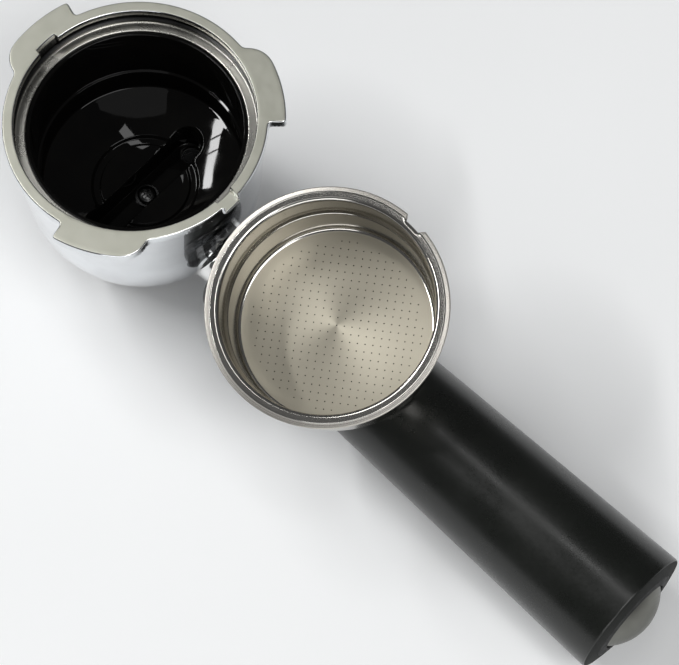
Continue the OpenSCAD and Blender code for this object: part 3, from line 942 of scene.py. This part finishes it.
# ---- Basket ----
def make_basket():
    angles = even_angles(360)
    from_notch = np.radians(angles - NOTCH_AT)
    across = np.abs(FLANGE_R * np.sin(from_notch))
    notch = np.where(np.cos(from_notch) > 0, smoothstep((NOTCH_W / 2 + 0.35 - across) / 0.7), 0)

    out_z = FLOOR_Z - SHEET_T
    outline = filleted([
        (LOW_R, FLOOR_Z, FLOOR_CORNER), (LOW_R + 0.6, STEP_Z - 1.3, 0.5),
        (MOUTH_R, STEP_Z + 0.1, 0.4), (MOUTH_R, 0, 1.3), (BEAD_R, 0, 0.45), (LIP_R, -0.22, 0.1),
        (FLANGE_R, -0.3, 0.3), (FLANGE_R, -1, 0.3), (MOUTH_R + SHEET_T, -1, 0.7),
        (MOUTH_R + SHEET_T, STEP_Z, 0.5), (LOW_R + SHEET_T, STEP_Z - 1.1, 0.5),
        (LOW_R + SHEET_T, out_z, FLOOR_CORNER + SHEET_T),
        (LOW_R - FLOOR_CORNER - 2, out_z, 0), (LOW_R - FLOOR_CORNER - 2, FLOOR_Z, 0)], 9)[:-2]
    rows = []
    for r, z in outline:
        rim = smoothstep((r - FLANGE_R + 2.6) / 2.4)
        rows.append(with_z(polar(r - NOTCH_DEPTH * notch * rim, angles), z))
    shell = Shell()
    shell.strip(rows)

    reach = int(HOLES_WITHIN / PITCH) + 1
    steps = range(-reach, reach + 1)
    grid = np.array([(i, j) for i in steps for j in steps]) * PITCH
    spin = math.radians(PITCH_TURN)
    spun = np.array([(math.cos(spin), math.sin(spin)), (-math.sin(spin), math.cos(spin))])
    grid = grid @ spun
    grid = grid[np.hypot(*grid.T) < HOLES_WITHIN]
    holes = [polar(HOLE_R, even_angles(12)) + middle for middle in grid]

    def solid(x, y):
        """Outside every hole: the nearest hole's middle is the nearest point of the turned grid."""
        local = np.column_stack([x, y]) @ spun.T
        nearest = np.round(local / PITCH) * PITCH
        away = np.hypot(*(local - nearest).T)
        return (away > HOLE_R * 0.98) | (np.hypot(*nearest.T) >= HOLES_WITHIN)

    top, under = rows[0][0][2], rows[-1][0][2]
    shell.plate([rows[0], *holes], at_height(top), solid)
    shell.plate([rows[-1], *holes], at_height(under), solid)
    for hole in holes:
        shell.strip([with_z(hole, top), with_z(hole, under)])
    made = piece("basket_shell", shell, ON_BASKET, "basket", [DRAWN, SPUN],
                 ["basket_cup"])
    # The flat floor inside is the spun face
    for face in made.data.polygons:
        if abs(face.center.z - top * MM) < 0.02 * MM and abs(face.normal.z) > 0.99:
            face.material_index = 1
            face.use_smooth = False
    return made


def make_basket_base():
    """An outer cup under the basket, whose raised middle has one small hole."""
    in_r, out_r, hole_r = LOW_R + SHEET_T, LOW_R + SHEET_T * 2, 0.6
    low = -BASKET_H
    low_in, raised = low + SHEET_T, low + BASE_RAISED
    raised_in = raised + SHEET_T
    shell = Shell()
    shell.revolve(filleted([
        (hole_r, raised_in, 0.1), (17, raised_in, 0.6), (18.5, low_in, 0.6), (in_r, low_in, 1.0),
        (in_r, BASE_TOP, 0.15), (out_r, BASE_TOP, 0.25), (out_r, low, 1.5), (18.2, low, 0.6),
        (16.7, raised, 0.6), (hole_r, raised, 0.1)]), 256)
    return piece("basket_foot", shell, ON_BASKET, "basket", [DRAWN],
                 ["basket_base"])


make_casting()
make_neck()
make_liner()
make_centre_screw()
make_spout()
make_collar()
make_grip()
make_end_plug()
make_end_cap()
make_basket()
make_basket_base()

# ---- CAD nodes that stay, with their finishes ----
KEPT = {
    "liner_gasket": RUBBER, "spout_seal": RUBBER, "screw_washer": DARK_STEEL, "spout_insert": BRASS,
    "tie_rod": STEEL, "rod_washer": STEEL, "spring_washer": STEEL, "rod_nut": STEEL,
}
for node, look in KEPT.items():
    mesh = frame["nodes"][node].data
    mesh.materials.clear()
    mesh.materials.append(look)

# ---- Stage, light and camera, in metres ----
LIT_AT = (0.05, 0, -0.02)       # what the lights look at
FLOOR_HALF = 3.0
CAMERA_AIM = (0.0681, 0.0016, -0.030)
CAMERA_FROM = (-44.36, 67.04)   # azimuth and elevation, in degrees
CAMERA_AWAY = 0.8835
CAMERA_ROLL = -2.5
CAMERA_LENS = 185.6


def toward(azimuth, elevation):
    a, e = math.radians(azimuth), math.radians(elevation)
    return Vector((math.cos(e) * math.cos(a), math.cos(e) * math.sin(a), math.sin(e)))


def looking_back(direction, roll):
    """Axes of a light or camera that stands in a direction and looks back along it."""
    return direction.to_track_quat("Z", "Y").to_matrix().to_4x4() @ turn(roll, "Z")


def make_floor():
    mesh = bpy.data.meshes.new("floor")
    corners = ((-1, -1), (1, -1), (1, 1), (-1, 1))
    mesh.from_pydata([(x * FLOOR_HALF, y * FLOOR_HALF, REST_Z * MM) for x, y in corners], [],
                     [(0, 1, 2, 3)])
    floor = bpy.data.objects.new("floor", mesh)
    bpy.context.scene.collection.objects.link(floor)
    look = Look("pale_floor", (0.92, 0.93, 0.935), 0.8)
    look.drive("Base Color", look.mixed(look.noise(60, 2),
                                        (0.91, 0.92, 0.925), (0.93, 0.94, 0.945)))
    mesh.materials.append(look.material)


def soft_box(name, azimuth, elevation, distance, width, height, radiance, roll=0, shift=0):
    """A soft light in a direction from the object, rolled and then shifted along its width."""
    lamp = bpy.data.lights.new(name, "AREA")
    lamp.shape = "RECTANGLE"
    lamp.size, lamp.size_y = width, height
    lamp.energy = radiance * math.pi * width * height
    box = bpy.data.objects.new(name, lamp)
    bpy.context.scene.collection.objects.link(box)
    away = toward(azimuth, elevation)
    axes = looking_back(away, roll)
    middle = Vector(LIT_AT) + away * distance + axes.to_3x3() @ Vector((shift, 0, 0))
    box.matrix_world = Matrix.Translation(middle) @ axes


def make_lights():
    """Panels that give the photo's highlights, and a long, narrow window in three panes."""
    soft_box("key", -10, 56, 1.5, 0.8, 0.65, 5)
    soft_box("front", -44, 20, 1.5, 1.3, 0.5, 3)
    soft_box("overhead", -44, 71, 1.6, 0.9, 0.5, 0.5)
    soft_box("tube", 90, 89, 1.3, 0.4, 0.11, 6.4)
    soft_box("ceiling", 180, 65, 1.3, 0.3, 0.3, 6)
    panes = {"long": (-0.41, -0.03), "short": (-0.015, 0.09), "last": (0.105, 0.41)}
    for name, (start, end) in panes.items():
        soft_box("window_" + name, 205.5, 50, 1.2, end - start, 0.06, 45, roll=19,
                 shift=(start + end) / 2)


def make_camera():
    """High up on the handle's right-hand side, with the picture turned a little."""
    data = bpy.data.cameras.new("camera")
    data.sensor_width = 36
    data.lens = CAMERA_LENS
    camera = bpy.data.objects.new("camera", data)
    bpy.context.scene.collection.objects.link(camera)
    view = toward(*CAMERA_FROM)
    camera.location = Vector(CAMERA_AIM) + view * CAMERA_AWAY
    camera.rotation_euler = looking_back(view, CAMERA_ROLL).to_euler()
    bpy.context.scene.camera = camera


def make_world():
    world = bpy.data.worlds.new("studio")
    world.use_nodes = True
    back = world.node_tree.nodes["Background"]
    back.inputs["Color"].default_value = (0.98, 0.99, 1.0, 1)
    back.inputs["Strength"].default_value = 0.1
    bpy.context.scene.world = world


make_floor()
make_world()
make_lights()
make_camera()
bpy.context.scene.view_settings.view_transform = "Standard"
